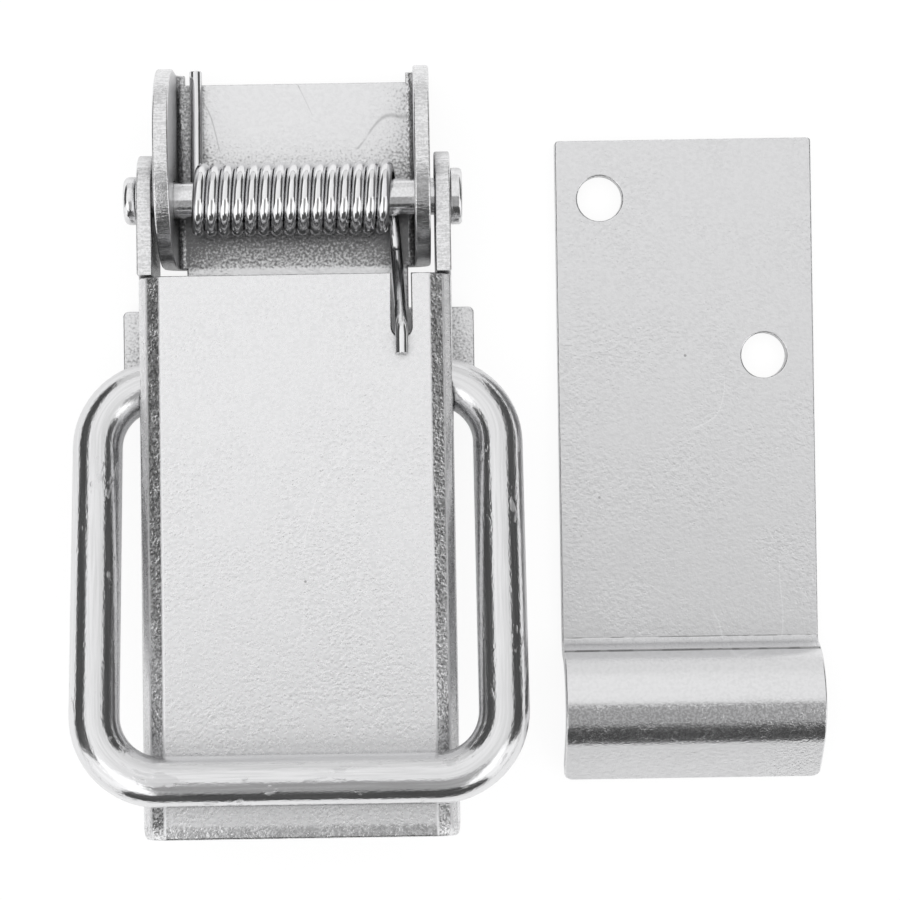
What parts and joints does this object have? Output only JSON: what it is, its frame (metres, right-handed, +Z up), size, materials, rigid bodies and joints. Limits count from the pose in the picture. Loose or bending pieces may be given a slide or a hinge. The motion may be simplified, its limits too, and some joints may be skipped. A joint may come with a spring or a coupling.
{
  "type": "trailer toggle latch",
  "caption": "Over-centre toggle latch with a sprung channel lever, a wire bail folded back over it, and a separate rolled catch plate that the bail hooks over.",
  "frame": {"origin": "midway between the two fixing holes of the base plate, on its underside", "axes": "+X across the latch, +Y along it from the lever's free end towards the ears and, in use, the catch, +Z up from the surface that it is bolted to"},
  "size_m": [0.1061, 0.109, 0.0264],
  "materials": {
    "zinc_sheet": "bright zinc plating over pressed sheet, finely pitted",
    "zinc_rivet": "bright zinc plating, duller on the heads",
    "spring_wire": "polished bright wire",
    "bail_wire": "bright zinc plating with small nicks"
  },
  "bodies": {
    "base": {"base_plate": "zinc_sheet", "pivot_rivet": "zinc_rivet", "spring": "spring_wire", "catch_plate": "zinc_sheet"},
    "lever": {"lever": "zinc_sheet"},
    "bail": {"bail": "bail_wire"}
  },
  "joints": [
    {"name": "lever_hinge", "type": "hinge", "parent": "base", "child": "lever", "pos_m": [0, 0.0164, 0.0092], "axis": [-1, 0, 0], "range_deg": [0, 97], "stiffness_Nm_per_rad": 0.244, "springref_deg": -28.65, "deforming": ["spring"]},
    {"name": "bail_hinge", "type": "hinge", "parent": "lever", "child": "bail", "pos_m": [0, -0.0098, 0.00907], "axis": [-1, 0, 0], "range_deg": [0, 170]}
  ]
}
